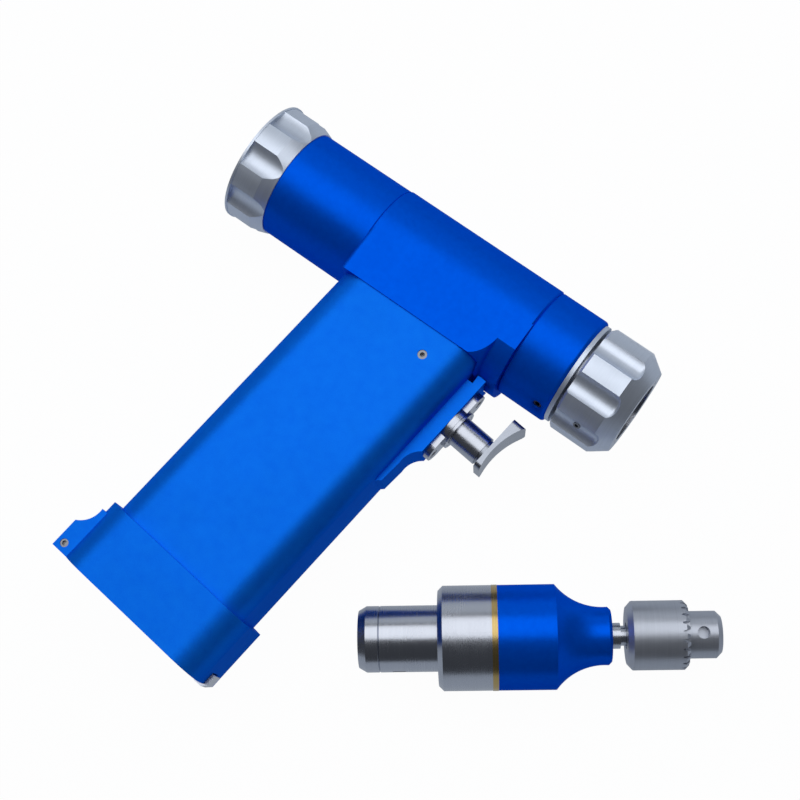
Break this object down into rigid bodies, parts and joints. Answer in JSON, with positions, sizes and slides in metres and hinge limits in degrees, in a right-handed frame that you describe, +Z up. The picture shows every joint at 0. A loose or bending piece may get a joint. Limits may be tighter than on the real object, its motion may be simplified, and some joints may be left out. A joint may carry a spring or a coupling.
{
  "type": "surgical power drill",
  "caption": "Battery surgical drill lying on its side: pistol grip, fluted locking collar, hand trigger and hinged battery lid, with a separate geared keyed-chuck attachment.",
  "frame": {"origin": "centre of the attachment socket's mouth, in the barrel's middle plane", "axes": "+X along the barrel out of the socket, +Z up from the table on which the drill lies on its side, the grip points to -Y"},
  "size_m": [0.2147, 0.171, 0.0427],
  "materials": {
    "blue_anodised": "anodised satin",
    "silver_anodised": "satin",
    "steel": "polished and turned",
    "fastener_steel": "machined",
    "spring_steel": "drawn",
    "bearing_steel": "ground",
    "brass": "turned",
    "motor_shell": "zinc plated",
    "winding": "enamelled copper",
    "magnet": "nickel plated",
    "black_rubber": "matte",
    "board": "solder mask",
    "black_plastic": "moulded",
    "battery_case": "moulded"
  },
  "bodies": {
    "handpiece": {"head_housing": "blue_anodised", "rear_barrel": "blue_anodised", "nose_housing": "blue_anodised", "nose_ring": "silver_anodised", "coupling_sleeve": "steel", "nose_screws": "fastener_steel", "grip_shell": "blue_anodised", "grip_tenon": "silver_anodised", "grip_screws": "fastener_steel", "battery_ring": "blue_anodised", "lid_hinge_pin": "fastener_steel", "trigger_block": "blue_anodised", "trigger_flange": "steel", "trigger_bush": "steel", "flange_screws": "fastener_steel", "motor_can": "motor_shell", "motor_stator": "winding", "motor_bearings": "bearing_steel", "spindle_bearings": "bearing_steel", "spindle_seal": "black_rubber", "cap_seal": "black_rubber", "trigger_switch": "black_plastic", "control_board": "board", "battery_contacts": "black_plastic", "trigger_spring": "spring_steel", "collar_spring": "spring_steel"},
    "drive": {"motor_rotor": "magnet", "shaft_coupling": "silver_anodised", "spindle": "steel"},
    "collar": {"front_collar": "silver_anodised", "collar_screw": "fastener_steel"},
    "pin_1": {"lock_pin_1": "steel"},
    "pin_2": {"lock_pin_2": "steel"},
    "pin_3": {"lock_pin_3": "steel"},
    "cap": {"rear_cap": "silver_anodised"},
    "trigger": {"trigger_plunger": "steel", "finger_plate": "steel"},
    "lid": {"battery_lid": "blue_anodised", "lid_seal": "black_rubber"},
    "latch": {"lid_latch": "steel"},
    "battery": {"battery_pack": "battery_case"},
    "attachment": {"shank_housing": "steel", "brass_ring": "brass", "cone_housing": "blue_anodised", "ring_gear": "steel", "input_bearing": "bearing_steel", "output_bearings": "bearing_steel", "output_seal": "black_rubber"},
    "input": {"input_shaft": "steel"},
    "output": {"planet_carrier": "steel", "planet_pins": "steel", "chuck_body": "steel"},
    "planet_1": {"planet_gear_1": "steel"},
    "planet_2": {"planet_gear_2": "steel"},
    "planet_3": {"planet_gear_3": "steel"},
    "sleeve": {"chuck_sleeve": "steel", "chuck_nut": "steel"},
    "jaw_1": {"chuck_jaw_1": "steel"},
    "jaw_2": {"chuck_jaw_2": "steel"},
    "jaw_3": {"chuck_jaw_3": "steel"}
  },
  "joints": [
    {"name": "drive_spin", "type": "hinge", "parent": "handpiece", "child": "drive", "pos_m": [0, 0, 0], "axis": [1, 0, 0], "continuous": true},
    {"name": "collar_turn", "type": "hinge", "parent": "handpiece", "child": "collar", "pos_m": [0, 0, 0], "axis": [1, 0, 0], "range_deg": [-35, 0]},
    {"name": "cap_turn", "type": "hinge", "parent": "handpiece", "child": "cap", "pos_m": [0, 0, 0], "axis": [-1, 0, 0], "range_deg": [0, 90]},
    {"name": "trigger_pull", "type": "slide", "parent": "handpiece", "child": "trigger", "axis": [-0.9945, 0.1045, 0], "range_m": [0, 0.005], "stiffness_N_per_m": 600, "deforming": ["trigger_spring"]},
    {"name": "lid_swing", "type": "hinge", "parent": "handpiece", "child": "lid", "pos_m": [-0.11771, -0.13969, 0], "axis": [0, 0, -1], "range_deg": [0, 110]},
    {"name": "latch_press", "type": "slide", "parent": "lid", "child": "latch", "axis": [-0.9945, 0.1045, 0], "range_m": [0, 0.0015], "stiffness_N_per_m": 500},
    {"name": "battery_eject", "type": "slide", "parent": "handpiece", "child": "battery", "axis": [-0.1045, -0.9945, 0], "range_m": [0, 0.00768]},
    {"name": "attachment_lift", "type": "slide", "parent": "handpiece", "child": "attachment", "axis": [0, 0, 1], "range_m": [0, 0.1]},
    {"name": "chuck_spin", "type": "hinge", "parent": "attachment", "child": "output", "pos_m": [-0.0092, -0.0944, -0.005], "axis": [0.8007, 0.599, 0], "continuous": true},
    {"name": "input_spin", "type": "hinge", "parent": "attachment", "child": "input", "pos_m": [-0.0092, -0.0944, -0.005], "axis": [0.8007, 0.599, 0], "continuous": true},
    {"name": "pin_slide_1", "type": "slide", "parent": "handpiece", "child": "pin_1", "axis": [0, 0, -1], "range_m": [0, 0.0012]},
    {"name": "pin_slide_2", "type": "slide", "parent": "handpiece", "child": "pin_2", "axis": [0, 0.866, 0.5], "range_m": [0, 0.0012]},
    {"name": "pin_slide_3", "type": "slide", "parent": "handpiece", "child": "pin_3", "axis": [0, -0.866, 0.5], "range_m": [0, 0.0012]},
    {"name": "planet_spin_1", "type": "hinge", "parent": "output", "child": "planet_1", "pos_m": [-0.01423, -0.08767, -0.005], "axis": [0.8007, 0.599, 0], "continuous": true},
    {"name": "planet_spin_2", "type": "hinge", "parent": "output", "child": "planet_2", "pos_m": [-0.00668, -0.09776, 0.00227], "axis": [0.8007, 0.599, 0], "continuous": true},
    {"name": "planet_spin_3", "type": "hinge", "parent": "output", "child": "planet_3", "pos_m": [-0.00668, -0.09776, -0.01227], "axis": [0.8007, 0.599, 0], "continuous": true},
    {"name": "sleeve_turn", "type": "hinge", "parent": "output", "child": "sleeve", "pos_m": [-0.0092, -0.0944, -0.005], "axis": [0.8007, 0.599, 0], "range_deg": [0, 1440]},
    {"name": "jaw_slide_1", "type": "slide", "parent": "output", "child": "jaw_1", "axis": [0.7802, 0.5837, 0.225], "range_m": [0, 0.0085]},
    {"name": "jaw_slide_2", "type": "slide", "parent": "output", "child": "jaw_2", "axis": [0.8969, 0.4277, -0.1125], "range_m": [0, 0.0085]},
    {"name": "jaw_slide_3", "type": "slide", "parent": "output", "child": "jaw_3", "axis": [0.6635, 0.7397, -0.1125], "range_m": [0, 0.0085]}
  ],
  "couplings": [
    {"joint": "pin_slide_1", "follows": "collar_turn", "m_per_rad": -0.0019644},
    {"joint": "pin_slide_2", "follows": "collar_turn", "m_per_rad": -0.0019644},
    {"joint": "pin_slide_3", "follows": "collar_turn", "m_per_rad": -0.0019644},
    {"joint": "battery_eject", "follows": "lid_swing", "m_per_rad": 0.004},
    {"joint": "input_spin", "follows": "chuck_spin", "ratio": 3.5},
    {"joint": "planet_spin_1", "follows": "chuck_spin", "ratio": -3.3333},
    {"joint": "planet_spin_2", "follows": "chuck_spin", "ratio": -3.3333},
    {"joint": "planet_spin_3", "follows": "chuck_spin", "ratio": -3.3333},
    {"joint": "jaw_slide_1", "follows": "sleeve_turn", "m_per_rad": 0.0003382},
    {"joint": "jaw_slide_2", "follows": "sleeve_turn", "m_per_rad": 0.0003382},
    {"joint": "jaw_slide_3", "follows": "sleeve_turn", "m_per_rad": 0.0003382}
  ]
}
